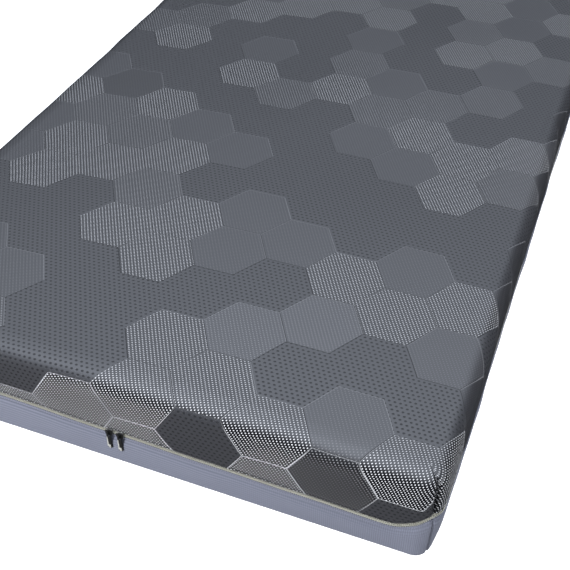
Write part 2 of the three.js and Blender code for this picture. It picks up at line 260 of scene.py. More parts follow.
# Helpers for node trees
def connect(tree, value, socket):
    if isinstance(value, bpy.types.NodeSocket):
        tree.links.new(value, socket)
    else:
        socket.default_value = value


def feed(tree, sockets, values):
    for name, value in values.items():
        connect(tree, value, sockets[name])


def addNode(tree, kind, *values, inputs=None, **settings):
    node = tree.nodes.new(kind)
    for name, value in settings.items():
        setattr(node, name, value)
    for value, socket in zip(values, node.inputs):
        connect(tree, value, socket)
    feed(tree, node.inputs, inputs or {})
    return node


def outputOf(tree, kind, *values, **settings):
    return addNode(tree, kind, *values, **settings).outputs[0]


def compute(tree, operation, *values):
    return outputOf(tree, "ShaderNodeMath", *values, operation=operation)


def vectorMath(tree, operation, *values):
    node = addNode(tree, "ShaderNodeVectorMath", *values, operation=operation)
    return node.outputs["Value" if operation == "DOT_PRODUCT" else "Vector"]


def blendColour(tree, factor, first, second):
    return addNode(tree, "ShaderNodeMix", data_type="RGBA",
                   inputs={"Factor": factor, 6: first, 7: second}).outputs[2]


def fade(tree, value, low, high, fromValue=0, toValue=1, kind="SMOOTHSTEP"):
    return outputOf(tree, "ShaderNodeMapRange", value, low, high, fromValue, toValue,
                    interpolation_type=kind)


def axisOf(tree, place, axis):
    return addNode(tree, "ShaderNodeSeparateXYZ", place).outputs[axis]


def objectPlace(tree):
    return addNode(tree, "ShaderNodeTexCoord").outputs["Object"]


def spreadPlace(tree):
    return outputOf(tree, "ShaderNodeUVMap", uv_map="cloth")


def addNoise(tree, scale):
    return outputOf(tree, "ShaderNodeTexNoise", inputs={"Vector": objectPlace(tree), "Scale": scale})


def addRelief(tree, shader, height, depth):
    bump = outputOf(tree, "ShaderNodeBump", inputs={"Distance": depth, "Height": height})
    connect(tree, bump, shader.inputs["Normal"])


def newGroup(name, inputs, outputs, kind="ShaderNodeTree"):
    # Sockets are numbers, apart from those whose kind is named
    kinds = {"Place": "Vector", "First": "Vector", "Second": "Vector", "Knit": "Color",
             "Geometry": "Geometry", "Material": "Material"}
    group = bpy.data.node_groups.new(name, kind)
    for direction, labels in (("INPUT", inputs), ("OUTPUT", outputs)):
        for label in labels:
            socketType = "NodeSocket" + kinds.get(label, "Float")
            group.interface.new_socket(label, in_out=direction, socket_type=socketType)
    return group, group.nodes.new("NodeGroupInput").outputs, group.nodes.new("NodeGroupOutput").inputs


def useGroup(tree, group, **values):
    node = tree.nodes.new("ShaderNodeGroup")
    node.node_tree = group
    feed(tree, node.inputs, values)
    return node.outputs


def newMaterial(name):
    material = bpy.data.materials.new(name)
    material.use_nodes = True
    tree = material.node_tree
    shader = next(node for node in tree.nodes if node.type == "BSDF_PRINCIPLED")
    return material, tree, shader


# The upper cover's knit: a honeycomb of six-sided fields in a few knits, read off, a letter for each field,
# with columns from left to right and fields from the foot end up.
# B bright dotted ribs, M dimmer ribs, R dim dots on dark, P plain, L light plain, K dark plain, D pitted
honeycomb = {
    "columns": ["DBPMDPPBPDMDBP", "PDBPDBBMKDBMDP", "BMPDDBMBDDDBPD", "BDDDBMBPDBPDBM",
                "BDDBBDPDMDDDBP", "BBBDPPDDDBMPBM", "DBLDPDDPMPDDDB", "BBDLBDDPBMDBMB",
                "RPDBPDBBDMPBPP", "DBDPBDDMBDDMDB", "DBKDKKDKPKDKKD"],
    "firstColumn": -5, "firstField": -3, "start": (0.01208, -0.74901), "side": (0.06221, 0.05924),
    "skew": (-0.00043, 0.00091), "stretch": (-0.00051, -0.00007),
    "dots": ((0.00282, 0.00434), (-0.00182, 0.00303)),
    "pits": ((0.00781, 0.0001), (0.00382, -0.00652)),
}
# How far the cloth has been pulled about over the foam, from its middle to its edges
clothDrift = {
    "unit": (0.45, 0.5), "acrossLimit": 0.8, "downLimit": 1.1,
    "all": (0.002, -0.0019), "across": (-0.0055, 0.0055), "down": (0.0086, -0.0029),
    "acrossTwice": (0.0194, -0.0088), "downTwice": (0.0001, 0.0051), "both": (0.0004, 0.0015),
}
knits = {  # dots, pits, tone
    "B": (1, 0, 0), "M": (0.52, 0, 0.3), "P": (0.18, 0, 0.6), "L": (0.28, 0, 1),
    "R": (0.34, 0, 0.1), "K": (0.1, 0, 0.3), "D": (0, 0.8, 0.6),
}
fieldHeight = math.sqrt(3) / 2


def drift(places):
    d = clothDrift
    u = np.clip(places[:, :1] / d["unit"][0], -d["acrossLimit"], d["acrossLimit"])
    v = np.clip(places[:, 1:] / d["unit"][1] + 1, -d["downLimit"], d["downLimit"])
    terms = {"all": 1, "across": u, "down": v, "acrossTwice": u * u, "downTwice": v * v, "both": u * v}
    return sum(term * np.array(d[name]) for name, term in terms.items())


def honeycombPlaces(places):
    # From places on the spread cloth to the honeycomb's own units, one side of a field long
    x, y = (places - drift(places) - np.array(honeycomb["start"])).T
    side, skew, stretch = (honeycomb[key] for key in ("side", "skew", "stretch"))
    across, up = x / side[0], y / side[1]
    for _ in range(8):
        bend = stretch[0] * across + stretch[1] * up
        across = (x - skew[0] * up) / (side[0] + bend)
        up = (y - skew[1] * across) / side[1]
    return sideBySide(across, up)


def honeycombGroup():
    group, given, result = newGroup("honeycomb", ["Place"], ["Column", "Field", "Edge", "Foot"])
    do = partial(compute, group)
    nearest = []
    for startX, startY in ((0.5, -fieldHeight), (2, 0)):
        x = do("SUBTRACT", axisOf(group, given["Place"], "X"), startX)
        y = do("SUBTRACT", axisOf(group, given["Place"], "Y"), startY)
        column = do("ROUND", do("DIVIDE", x, 3))
        field = do("ROUND", do("DIVIDE", y, 2 * fieldHeight))
        localX = do("MULTIPLY_ADD", column, -3, x)
        localY = do("MULTIPLY_ADD", field, -2 * fieldHeight, y)
        away = do("ADD", do("MULTIPLY", localX, localX), do("MULTIPLY", localY, localY))
        nearest.append((localX, localY, do("MULTIPLY", column, 2), field, away))
    even, odd = nearest
    isOdd = do("LESS_THAN", odd[4], even[4])
    localX, localY, column, field = (
        do("MULTIPLY_ADD", isOdd, do("SUBTRACT", odd[n], even[n]), even[n]) for n in range(4))
    level = do("ABSOLUTE", localY)
    slant = do("MULTIPLY_ADD", do("ABSOLUTE", localX), fieldHeight, do("MULTIPLY", level, 0.5))
    feed(group, result, {
        "Column": do("ADD", column, isOdd), "Field": field, "Foot": do("LESS_THAN", localY, 0),
        "Edge": do("SUBTRACT", fieldHeight, do("MAXIMUM", slant, level))})
    return group


def chartGroup():
    group, given, result = newGroup("knitChart", ["Column", "Field"], ["Knit"])
    do = partial(compute, group)
    columns = honeycomb["columns"]
    fields = len(columns[0])
    column, field = (do("FLOORED_MODULO", do("SUBTRACT", given[name], honeycomb["first" + name]), count)
                     for name, count in (("Column", len(columns)), ("Field", fields)))
    place = do("DIVIDE", do("ADD", field, 0.5), fields)
    total = (0, 0, 0)
    for n, letters in enumerate(columns):
        node = addNode(group, "ShaderNodeValToRGB", place)
        ramp = node.color_ramp
        ramp.interpolation = "CONSTANT"
        ramp.elements.remove(ramp.elements[1])
        ramp.elements[0].color = (*knits[letters[0]], 1)
        for k in range(1, fields):
            if letters[k] != letters[k - 1]:
                ramp.elements.new(k / fields).color = (*knits[letters[k]], 1)
        here = do("COMPARE", column, float(n), 0.5)
        total = vectorMath(group, "MULTIPLY_ADD", node.outputs[0], here, total)
    connect(group, total, result["Knit"])
    return group


def latticeGroup():
    # Rows of dots on a slanting lattice: Dots is 1 on a dot, Ribs and Crossings on their own rows
    group, given, result = newGroup("dotRows", ["Place", "First", "Second"], ["Dots", "Ribs", "Crossings"])
    do = partial(compute, group)
    third = vectorMath(group, "ADD", given["First"], given["Second"])
    waves = []
    for across in (given["First"], given["Second"], third):
        turns = vectorMath(group, "DOT_PRODUCT", given["Place"], across)
        waves.append(do("MULTIPLY_ADD", do("COSINE", do("MULTIPLY", turns, 2 * math.pi)), 0.5, 0.5))
    total = do("ADD", do("ADD", waves[0], waves[1]), waves[2])
    # Three such waves never sum to less than 0.75
    dots = fade(group, total, 0.75, 3, kind="LINEAR")
    feed(group, result, {"Dots": dots, "Ribs": waves[0], "Crossings": waves[1]})
    return group


def rowsOf(steps):
    # The two directions across the rows of a lattice with these steps, in turns per field side
    inverse = np.linalg.inv(np.array(steps).T)
    return [(*(row * honeycomb["side"]), 0) for row in inverse]


def unevenDyeGroup():
    # Slow, faint unevenness of dye and light over a cloth
    group, given, result = newGroup("unevenDye", ["Amount", "Scale"], ["Factor"])
    centred = compute(group, "SUBTRACT", addNoise(group, given["Scale"]), 0.5)
    connect(group, compute(group, "MULTIPLY_ADD", centred, given["Amount"], 1), result["Factor"])
    return group


unevenDye = unevenDyeGroup()
dotRows = latticeGroup()


def dyed(tree, colour, look):
    dye = useGroup(tree, unevenDye, Amount=look["dyeAmount"], Scale=look["dyeScale"])["Factor"]
    return vectorMath(tree, "MULTIPLY", colour, dye)


upperKnitLook = {
    "lightYarn": (0.36, 0.368, 0.387, 1), "darkGround": (0.002, 0.002, 0.003, 1),
    "paleGround": (0.026, 0.027, 0.031, 1), "pit": (0.001, 0.001, 0.001, 1),
    # The pale line colour is the lighter yarn of the field edges; the dark one beside it is painted shade
    # for each field's foot on the lying face.
    "paleLine": (0.19, 0.195, 0.207, 1), "footShade": (0.001, 0.001, 0.001, 1),
    "borderLow": 0.128, "borderHigh": 0.15,  # heights between which the border turns to the lying face
    "lineWidth": 0.015, "lineSoftness": 0.4, "brightLine": 0.35, "plainLine": 0.45,
    "roughness": 0.45, "dullRoughness": 0.9, "gloss": 1, "ior": 1.7, "relief": 0.00015,
    "dyeAmount": 0.12, "dyeScale": 3, "dotLow": 0.56, "dotHigh": 0.86, "dotRowShare": 0.1,
    "pitLow": 0.44, "pitHigh": 0.84, "pitRowShare": 0.25,
}


def upperKnitMaterial():
    look = upperKnitLook
    material, tree, shader = newMaterial("upperKnit")
    do = partial(compute, tree)
    place = spreadPlace(tree)
    cells = useGroup(tree, honeycombGroup(), Place=place)
    knit = useGroup(tree, chartGroup(), Column=cells["Column"], Field=cells["Field"])["Knit"]
    knit = addNode(tree, "ShaderNodeSeparateColor", knit).outputs
    masks = []
    for kind, row, strength in (("dot", "Ribs", knit["Red"]), ("pit", "Crossings", knit["Green"])):
        first, second = rowsOf(honeycomb[kind + "s"])
        rows = useGroup(tree, dotRows, Place=place, First=first, Second=second)
        share = look[kind + "RowShare"]
        mask = do("MULTIPLY_ADD", rows["Dots"], 1 - share, do("MULTIPLY", rows[row], share))
        masks.append(do("MULTIPLY", fade(tree, mask, look[kind + "Low"], look[kind + "High"]), strength))
    dots, pits = masks
    colour = blendColour(tree, knit["Blue"], look["darkGround"], look["paleGround"])
    colour = blendColour(tree, dots, colour, look["lightYarn"])
    colour = blendColour(tree, pits, colour, look["pit"])
    # Pitted fields have no line of their own. The others' is a pale line of lighter yarn, most on the
    # border's bright fields and weaker on the lying face, partly as painted light for the light falling
    # differently there. Along a field's foot on the lying face the line is dark: painted shade, as under a
    # low ridge lit from the head end.
    width, soft = look["lineWidth"], look["lineSoftness"]
    line = fade(tree, cells["Edge"], (1 - soft) * width, (1 + soft) * width, 1, 0)
    line = do("MULTIPLY", line, do("LESS_THAN", knit["Green"], 0.5))
    lying = fade(tree, axisOf(tree, objectPlace(tree), "Z"), look["borderLow"], look["borderHigh"])
    # Each field's foot on the lying face, where the line is painted shade
    foot = do("MULTIPLY", cells["Foot"], lying)
    bright = fade(tree, lying, 0, 1, 1, look["brightLine"])
    share = do("MULTIPLY_ADD", knit["Red"], do("SUBTRACT", bright, look["plainLine"]), look["plainLine"])
    line = do("MULTIPLY", line, do("MAXIMUM", share, foot))
    colour = blendColour(tree, line, colour, blendColour(tree, foot, look["paleLine"], look["footShade"]))
    dull = do("MAXIMUM", pits, do("MULTIPLY", line, foot))
    feed(tree, shader.inputs, {
        "Base Color": dyed(tree, colour, look),
        "Roughness": fade(tree, dull, 0, 1, look["roughness"], look["dullRoughness"]),
        "Specular IOR Level": look["gloss"], "IOR": look["ior"]})
    addRelief(tree, shader, do("SUBTRACT", do("SUBTRACT", dots, pits), line), look["relief"])
    return material


lowerKnitLook = {
    "yarn": (0.078, 0.083, 0.107, 1), "between": (0.04, 0.043, 0.056, 1),
    "rowStep": 0.00455, "rowsFrom": 0.022, "rowsTo": 0.05, "rowsLeast": 0.45, "rowsMost": 0.8,
    "columnStep": 0.0028, "columnsFrom": 0.12, "columnsTo": 0.4, "columnsLeast": 0.12,
    "columnsMost": 0.45, "roughness": 0.75, "gloss": 0.25, "relief": 0.0004,
    "dyeAmount": 0.08, "dyeScale": 4,
}


def lowerKnitMaterial():
    look = lowerKnitLook
    material, tree, shader = newMaterial("lowerKnit")
    do = partial(compute, tree)
    place = spreadPlace(tree)
    rows = useGroup(tree, dotRows, Place=place, First=(0, 1 / look["rowStep"], 0),
                    Second=(1 / look["columnStep"], 0, 0))
    # Rows show most under the hem, columns towards the right-hand corner
    up, across = axisOf(tree, place, "Y"), axisOf(tree, objectPlace(tree), "X")
    toRows, toColumns = (
        fade(tree, way, *(look[kind + end] for end in ("From", "To", "Least", "Most")))
        for kind, way in (("rows", up), ("columns", across)))
    toRows = do("SUBTRACT", toRows, toColumns)
    stitch = do("MULTIPLY", do("SUBTRACT", rows["Ribs"], 0.5), toRows)
    column = do("MULTIPLY", do("SUBTRACT", rows["Crossings"], 0.5), toColumns)
    stitch = do("ADD", do("ADD", stitch, column), 0.5)
    feed(tree, shader.inputs, {
        "Base Color": dyed(tree, blendColour(tree, stitch, look["between"], look["yarn"]), look),
        "Roughness": look["roughness"], "Specular IOR Level": look["gloss"]})
    addRelief(tree, shader, stitch, look["relief"])
    return material


tapeLook = {
    "yarn": (0.2, 0.2, 0.175, 1), "between": (0.14, 0.14, 0.122, 1), "step": 0.0009,
    "ribs": 0.7, "crossings": 0.3, "roughness": 0.8, "relief": 0.0002,
}


def tapeMaterial():
    look = tapeLook
    material, tree, shader = newMaterial("zipTape")
    rows = useGroup(tree, dotRows, Place=spreadPlace(tree), First=(1 / look["step"], 0, 0),
                    Second=(0, 1 / look["step"], 0))
    weave = compute(tree, "MULTIPLY_ADD", rows["Ribs"], look["ribs"],
                    compute(tree, "MULTIPLY", rows["Crossings"], look["crossings"]))
    feed(tree, shader.inputs, {"Base Color": blendColour(tree, weave, look["between"], look["yarn"]),
                               "Roughness": look["roughness"]})
    addRelief(tree, shader, weave, look["relief"])
    return material


plainLooks = {  # two colours, scale of their change, roughness, metallic
    "zipCoil": ((0.15, 0.15, 0.128, 1), (0.2, 0.2, 0.172, 1), 60, 0.5, 0),
    "thread": ((0.08, 0.085, 0.11, 1), (0.1, 0.105, 0.135, 1), 300, 0.6, 0),
    "darkThread": ((0.01, 0.01, 0.012, 1), (0.02, 0.02, 0.023, 1), 300, 0.6, 0),
    # The pale and dark metals are one gunmetal. The pale copy is a painted highlight and painted reflection
    # for edges and ends that catch the light; the dark one is the metal's own dark tone, made near black
    # partly as a painted dark reflection.
    "highlightMetal": ((0.15, 0.15, 0.142, 1), (0.22, 0.22, 0.21, 1), 350, 0.45, 0.2),
    "darkMetal": ((0.004, 0.004, 0.004, 1), (0.012, 0.012, 0.012, 1), 350, 0.4, 0.2),
}


def plainMaterial(name, first, second, scale, roughness, metallic):
    material, tree, shader = newMaterial(name)
    noise = addNoise(tree, scale)
    feed(tree, shader.inputs, {
        "Base Color": blendColour(tree, noise, first, second), "Metallic": metallic,
        "Roughness": fade(tree, noise, 0.3, 0.7, 0.8 * roughness, 1.2 * roughness)})
    return material


upperKnit = upperKnitMaterial()
lowerKnit = lowerKnitMaterial()
tapeCloth = tapeMaterial()
coilPlastic, threadGrey, threadDark, highlightMetal, darkMetal = (
    plainMaterial(name, *look) for name, look in plainLooks.items())
print("stage: materials made")

# How the hems lie over the zip
hem = {
    "inset": 0.0013, "zipInset": 0.005, "reach": 0.0044, "openReach": 0.0012, "openLength": 0.024,
    "lip": 0.0011, "stitchRise": 0.0042, "stitchDip": 0.0004, "lowerReach": 0.0041, "lowerLip": 0.0005,
    "lowerInset": 0.0026, "pastStitch": 0.0015, "pastInset": 0.7, "easeLength": 0.008,
}
hemTurn = [(0, 1.3), (-0.1, 0.5), (0.3, 0), (1, -0.2), (2, -0.25)]  # rise and inset, in lips
sliderPlaces = {"left": -0.0049, "right": 0.0116}
sliderMiddle = sum(sliderPlaces.values()) / 2


def hemReach(along, reach):
    return reach + hem["openReach"] * swell(roundDistance(along, sliderMiddle), hem["openLength"])


def stitchInset(inset, lip):
    return inset + hemTurn[-1][1] * lip + hem["stitchDip"]


def turnedHem(edge, inset, lip, up):
    # Rows of height and inset from the zip, round the hem's free edge, to its stitches
    flat = np.ones_like(zipLevel)
    inner = hem["zipInset"] * flat
    return [(zipLevel + up * halfGap, inner), (edge + up * lip, inner),
            *((edge + up * rise * lip, (inset + depth * lip) * flat) for rise, depth in hemTurn),
            (edge + up * hem["stitchRise"], stitchInset(inset, lip) * flat)]


def smoothCourse(keys, steps):
    # A smooth run of rows through key rows, which are (height, inset) arrays
    keys = [keys[0], *keys, keys[-1]]
    rows = []
    for n, count in enumerate(steps):
        a, b, c, d = (np.array(key) for key in keys[n:n + 4])
        for k in range(count):
            t = k / count
            rows.append(0.5 * (2 * b + (c - a) * t + (2 * a - 5 * b + 4 * c - d) * t ** 2
                               + (3 * b - a - 3 * c + d) * t ** 3))
    rows.append(np.array(keys[-1]))
    return rows


upperSide = {
    "bellyBulge": 0.0012, "seamDepth": 0.0022, "seamReach": 0.0034, "puckerDepth": 0.0125,
    "puckerHeight": 0.112, "puckerReach": 0.042, "gatherDepth": 0.0014, "gatherReach": 0.03,
    "gatherStep": 0.0105, "gatherSlant": 0.4, "core": 0.0015, "shoulderSteps": 12,
    "hemWaves": [(67, 0.00022, 0.4), (101, 0.00018, 2.1), (149, 0.00014, 4), (211, 0.0001, 1.3)],
    "hemWaveReach": 0.03, "softShare": 0.6,
    "sideWaves": [(23, 0.0005, 1), (41, 0.0004, 3.3), (58, 0.0003, 5.1)],
}


def upperCover():
    s = upperSide
    along, toCorner, side = (stations[name] for name in ("along", "toCorner", "side"))
    hollow, radius = edgeHollow(along), mattress["shoulderRadius"]
    bend = mattress["shoulderHeight"] - radius
    soft = ripple(along, s["sideWaves"])
    lip = zipLevel + hemReach(along, hem["reach"])
    hemTop = lip + hem["stitchRise"]
    rows = turnedHem(lip, hem["inset"], hem["lip"], 1)
    hemRows = len(rows)
    rows += smoothCourse([
        (hemTop + hem["pastStitch"],
         hem["inset"] * hem["pastInset"] + hollowShare["hem"] * hollow * 0.5),
        (hemTop + hem["easeLength"], hollowShare["hem"] * hollow + soft * 0.5),
        ((hemTop + bend) / 2, hollowShare["belly"] * hollow - s["bellyBulge"] + soft),
        (bend + 0 * along, hollow + s["softShare"] * soft),
    ], (3, 8, 8))[:-1]
    falls = [radius * np.pi / 2 + bend - z for z, _ in rows]
    nominal = [0 * along for _ in rows]
    for n in range(s["shoulderSteps"] + 1):
        angle = n / s["shoulderSteps"] * np.pi / 2
        share = hollowShare["lyingFace"] + (1 - hollowShare["lyingFace"]) * math.cos(angle)
        inset = radius * (1 - math.cos(angle))
        sag = hollowShare["sag"] * hollow * (1 - math.cos(angle))
        rows.append((bend + radius * math.sin(angle) - sag,
                     inset + share * hollow + s["softShare"] * soft * math.cos(angle)))
        nominal.append(inset + 0 * along)
        falls.append(radius * (np.pi / 2 - angle) + 0 * along)

    cloth = Cloth()
    placed, places = [], []
    core = mattress["cornerRadius"] - s["core"]
    for n, (z, inset) in enumerate(rows):
        if n >= 2:
            # The corner seam, drawn in deepest at its pucker, with gathers that run to it
            up = z - s["puckerHeight"]
            near = swell(up, s["puckerReach"])
            seam = np.exp(-(toCorner / s["seamReach"]) ** 2)
            depth = (s["seamDepth"] + s["puckerDepth"] * near) * seam
            fold = np.cos(2 * np.pi * (up + s["gatherSlant"] * toCorner) / s["gatherStep"])
            gather = s["gatherDepth"] * swell(toCorner, s["gatherReach"]) * near * (0.5 + 0.5 * fold)
            ease = 1 if n >= hemRows else 0.5
            inset = inset + ease * (depth + gather * (side % 2 == 0))
            if n >= hemRows:
                inset = inset + ripple(along, s["hemWaves"]) * swell(z - hemTop, s["hemWaveReach"])
        placed.append(cloth.add(ringPoints(np.minimum(inset, core), z)))
        places.append((clothPlaces(side, nominal[n], falls[n]),
                       clothPlaces(side, nominal[n], np.roll(falls[n], -1), shift=1)))
    cloth.rows(placed, places)

    top = gridPoints(topHeight)
    topIndex = cloth.add(top)
    spread = top[..., :2]
    cloth.addFaces(*(np.stack([part[:-1, :-1], part[:-1, 1:], part[1:, 1:], part[1:, :-1]], axis=2)
                     for part in (topIndex, spread)))
    border = atBorder(spread)
    cloth.band(placed[-1], atBorder(topIndex), places[-1], (border, np.roll(border, -1, axis=0)))
    closeFlat(cloth, placed[0], mattress["partingHeight"] + halfGap, False)
    cloth.places = [honeycombPlaces(part) for part in cloth.places]
    return cloth.object("upperCover", upperKnit)


def closeFlat(cloth, ring, height, facesUp):
    # A level panel inside a ring of points, with its border on the inner rectangle
    keys = list(zip(stations["column"], stations["row"]))
    corners = {}
    for n, key in enumerate(keys):
        corners.setdefault(key, n)
    chosen = np.array(list(corners.values()))
    spread = sideBySide(stations["x"], stations["y"])
    outline = cloth.add(np.column_stack([spread[chosen], np.full(len(chosen), height)]))
    index = dict(zip(corners, outline))
    border = np.array([index[key] for key in keys])
    pair = (spread, np.roll(spread, -1, axis=0))
    rings, way = ((ring, border), 1) if facesUp else ((border, ring), -1)
    cloth.band(*rings, pair, pair)
    cloth.addFaces(outline[None, ::way], spread[chosen][None, ::way])


lowerSide = {
    "bellyBulge": 0.0012, "seamDepth": 0.0024, "seamReach": 0.0024, "sideLean": 0.005,
    "cornerLean": 0.004, "cornerLeanReach": 0.13, "footSteps": 6, "hemHeight": 0.056,
    "waves": [(31, 0.0004, 0.7), (52, 0.0003, 2.9), (83, 0.0002, 4.4)],
}


def lowerCover():
    s = lowerSide
    along, toCorner, radius = stations["along"], stations["toCorner"], mattress["footRadius"]
    hollow = hollowShare["lowerCover"] * edgeHollow(along)
    soft = ripple(along, s["waves"])
    flat = np.ones_like(along)
    lip = zipLevel - hemReach(along, hem["lowerReach"])
    hemFoot = lip - hem["stitchRise"]
    lean = s["sideLean"] + s["cornerLean"] * swell(toCorner, s["cornerLeanReach"])
    lean = lean * np.cos(stations["turn"]) ** 2
    rows = [(radius * (1 - math.cos(angle)) * flat, radius * (1 - math.sin(angle)) * flat)
            for angle in np.arange(s["footSteps"] + 1) / s["footSteps"] * np.pi / 2]
    rows += smoothCourse([
        (radius + 0.003 * flat, hollow * 0.5 - 0.5 * s["bellyBulge"]),
        (0.5 * zipLevel, hollow - s["bellyBulge"] + soft),
        (hemFoot - hem["easeLength"], hollow - 0.5 * s["bellyBulge"] + 0.5 * soft),
        (hemFoot - hem["pastStitch"], hem["lowerInset"] * hem["pastInset"] * flat),
    ], (5, 5, 4))
    rows += turnedHem(lip, hem["lowerInset"], hem["lowerLip"], -1)[::-1]
    cloth = Cloth()
    placed, places = [], []
    for n, (z, inset) in enumerate(rows):
        low = np.maximum(0, 1 - z / lip)
        seam = s["seamDepth"] * np.exp(-(toCorner / s["seamReach"]) ** 2) if n < len(rows) - 2 else 0
        placed.append(cloth.add(ringPoints(inset + lean * low + seam, z)))
        rise = s["hemHeight"] * z / zipLevel
        places.append((sideBySide(along, rise), sideBySide(nextAlong, np.roll(rise, -1))))
    cloth.rows(placed, places)
    closeFlat(cloth, placed[-1], mattress["partingHeight"] - halfGap, True)
    closeFlat(cloth, placed[0], 0, False)
    return cloth.object("lowerCover", lowerKnit)


zipSizes = {
    "gap": 0.00035, "tapeThickness": 0.0011, "tapeReach": 0.0051, "tapeEdge": 0.001,
    "coilThickness": 0.0022,
}
tapeInner = hem["zipInset"] - zipSizes["gap"]
tapeOuter = tapeInner - zipSizes["tapeThickness"]
coilInner = tapeOuter - zipSizes["gap"]
coilOuter = coilInner - zipSizes["coilThickness"]


def zipTape(name, lowest, highest):
    # A woven band round the whole mattress
    cloth = Cloth()
    section = [(tapeInner, lowest), (tapeOuter, lowest), (tapeOuter, highest), (tapeInner, highest)]
    rings = [cloth.add(ringPoints(inset, zipLevel + rise)) for inset, rise in section]
    for n, (_, rise) in enumerate(section):
        nextRise = section[(n + 1) % 4][1] + zipSizes["tapeEdge"] * (n % 2)
        low, high = ([sideBySide(part, 0 * part + level) for part in (stations["along"], nextAlong)]
                     for level in (rise, nextRise))
        cloth.band(rings[n], rings[(n + 1) % 4], low, high)
    return cloth.object(name, tapeCloth, sharp=40)


upper = upperCover()
lower = lowerCover()
print("stage: covers sewn")
tapeUpper = zipTape("zipTapeUpper", halfGap, zipSizes["tapeReach"])
tapeLower = zipTape("zipTapeLower", -zipSizes["tapeReach"], -halfGap)
print("stage: tapes laid")


def pathObject(name, inset, rise):
    # A closed line round the mattress at the zip's height
    points = ringPoints(inset, zipLevel + rise) + middle
    count = len(points)
    mesh = bpy.data.meshes.new(name)
    mesh.from_pydata(points, [(n, (n + 1) % count) for n in range(count)], [])
    return addObject(name, mesh)


def newTree(name, *sizes):
    return newGroup(name, ["Geometry", *sizes, "Material"], ["Geometry"], "GeometryNodeTree")


def bentRow(tree, path, spacing, shift, bend, steps, wire, sides):
    # A row of short bent wires at even spacing along the path. Each has X along the path and Z upright.
    add = partial(outputOf, tree)
    curve = add("GeometryNodeMeshToCurve", path)
    even = add("GeometryNodeResampleCurve", curve, mode="LENGTH", inputs={"Length": spacing})
    tangent = add("GeometryNodeInputTangent")
    turn = add("FunctionNodeAlignRotationToVector", axis="X", pivot_axis="AUTO", inputs={"Vector": tangent})
    turn = add("FunctionNodeAlignRotationToVector", axis="Z", pivot_axis="X",
               inputs={"Rotation": turn, "Vector": (0, 0, 1)})
    slide = add("ShaderNodeVectorMath", tangent, operation="SCALE", inputs={"Scale": shift})
    moved = add("GeometryNodeSetPosition", even, inputs={"Offset": slide})
    arc = add("GeometryNodeCurveQuadraticBezier", steps, *bend)
    section = add("GeometryNodeCurvePrimitiveCircle", mode="RADIUS",
                  inputs={"Resolution": sides, "Radius": wire})
    bent = add("GeometryNodeCurveToMesh", arc, section, inputs={"Fill Caps": True})
    return add("GeometryNodeInstanceOnPoints", moved, inputs={"Instance": bent, "Rotation": turn})


def finishTree(tree, rows, material, result):
    joined = addNode(tree, "GeometryNodeJoinGeometry")
    for row in rows:
        tree.links.new(row, joined.inputs[0])
    realized = outputOf(tree, "GeometryNodeRealizeInstances", joined.outputs[0])
    smooth = outputOf(tree, "GeometryNodeSetShadeSmooth", realized)
    painted = outputOf(tree, "GeometryNodeSetMaterial", smooth, inputs={"Material": material})
    connect(tree, painted, result["Geometry"])
    return tree


def coilTree():
    # Two rows of bent plastic teeth that lock in each other
    tree, given, result = newTree("coilTeeth", "Pitch", "Reach", "Lap", "Bulge", "Wire")
    do, point = partial(compute, tree), partial(outputOf, tree, "ShaderNodeCombineXYZ")
    bulge = do("MULTIPLY", given["Bulge"], -1)
    rows = []
    for sign in (1, -1):
        shift = do("MULTIPLY", given["Pitch"], 0.25 * sign)
        outer = do("MULTIPLY", given["Reach"], sign)
        bend = (point(0, 0, outer), point(0, bulge, do("MULTIPLY", outer, 0.3)),
                point(0, 0, do("MULTIPLY", given["Lap"], -sign)))
        rows.append(bentRow(tree, given["Geometry"], given["Pitch"], shift, bend, 4, given["Wire"], 4))
    return finishTree(tree, rows, given["Material"], result)


def stitchTree():
    # A row of short slack stitches
    tree, given, result = newTree("stitchRow", "Spacing", "Stitch", "Thread", "Slack")
    do, point = partial(compute, tree), partial(outputOf, tree, "ShaderNodeCombineXYZ")
    half = do("MULTIPLY", given["Stitch"], 0.5)
    bend = (point(do("MULTIPLY", half, -1), 0, 0),
            point(0, do("MULTIPLY", given["Slack"], -1), 0), point(half, 0, 0))
    row = bentRow(tree, given["Geometry"], given["Spacing"], 0, bend, 3, given["Thread"], 5)
    return finishTree(tree, [row], given["Material"], result)


def plainMesh(source):
    # The mesh that an object comes out as, in the object's stead
    mesh = bpy.data.meshes.new_from_object(source.evaluated_get(bpy.context.evaluated_depsgraph_get()))
    bpy.data.objects.remove(source)
    return mesh


def growOn(path, tree, name, **values):
    # Runs the tree on the path and keeps the result as a plain mesh
    modifier = path.modifiers.new("grow", "NODES")
    modifier.node_group = tree
    for item in tree.interface.items_tree:
        if item.item_type == "SOCKET" and item.in_out == "INPUT" and item.name in values:
            modifier[item.identifier] = values[item.name]
    mesh = plainMesh(path)
    mesh.name = name
    return addObject(name, mesh)


coil = {"Pitch": 0.0028, "Reach": 0.0026, "Lap": 0.0009, "Bulge": 0.0022, "Wire": 0.00055}
zipCoil = growOn(pathObject("coilPath", coilInner - coil["Wire"], 0), coilTree(), "zipCoil",
                 Material=coilPlastic, **coil)
print("stage: coil closed", len(zipCoil.data.polygons))

stitches = {"Spacing": 0.0036, "Stitch": 0.0027, "Thread": 0.00032, "Slack": 0.0007}
sewing = stitchTree()
for name, inset, lip, height, thread, slotName in (
        ("hemStitchesUpper", hem["inset"], hem["lip"], hem["reach"] + hem["stitchRise"],
         threadDark, "upper_knit"),
        ("hemStitchesLower", hem["lowerInset"], hem["lowerLip"], -hem["lowerReach"] - hem["stitchRise"],
         threadGrey, "lower_knit")):
    path = pathObject(name + "Path", stitchInset(inset, lip), height)
    row = growOn(path, sewing, name, Material=thread, **stitches)
    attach(row, "root")
print("stage: hems stitched")

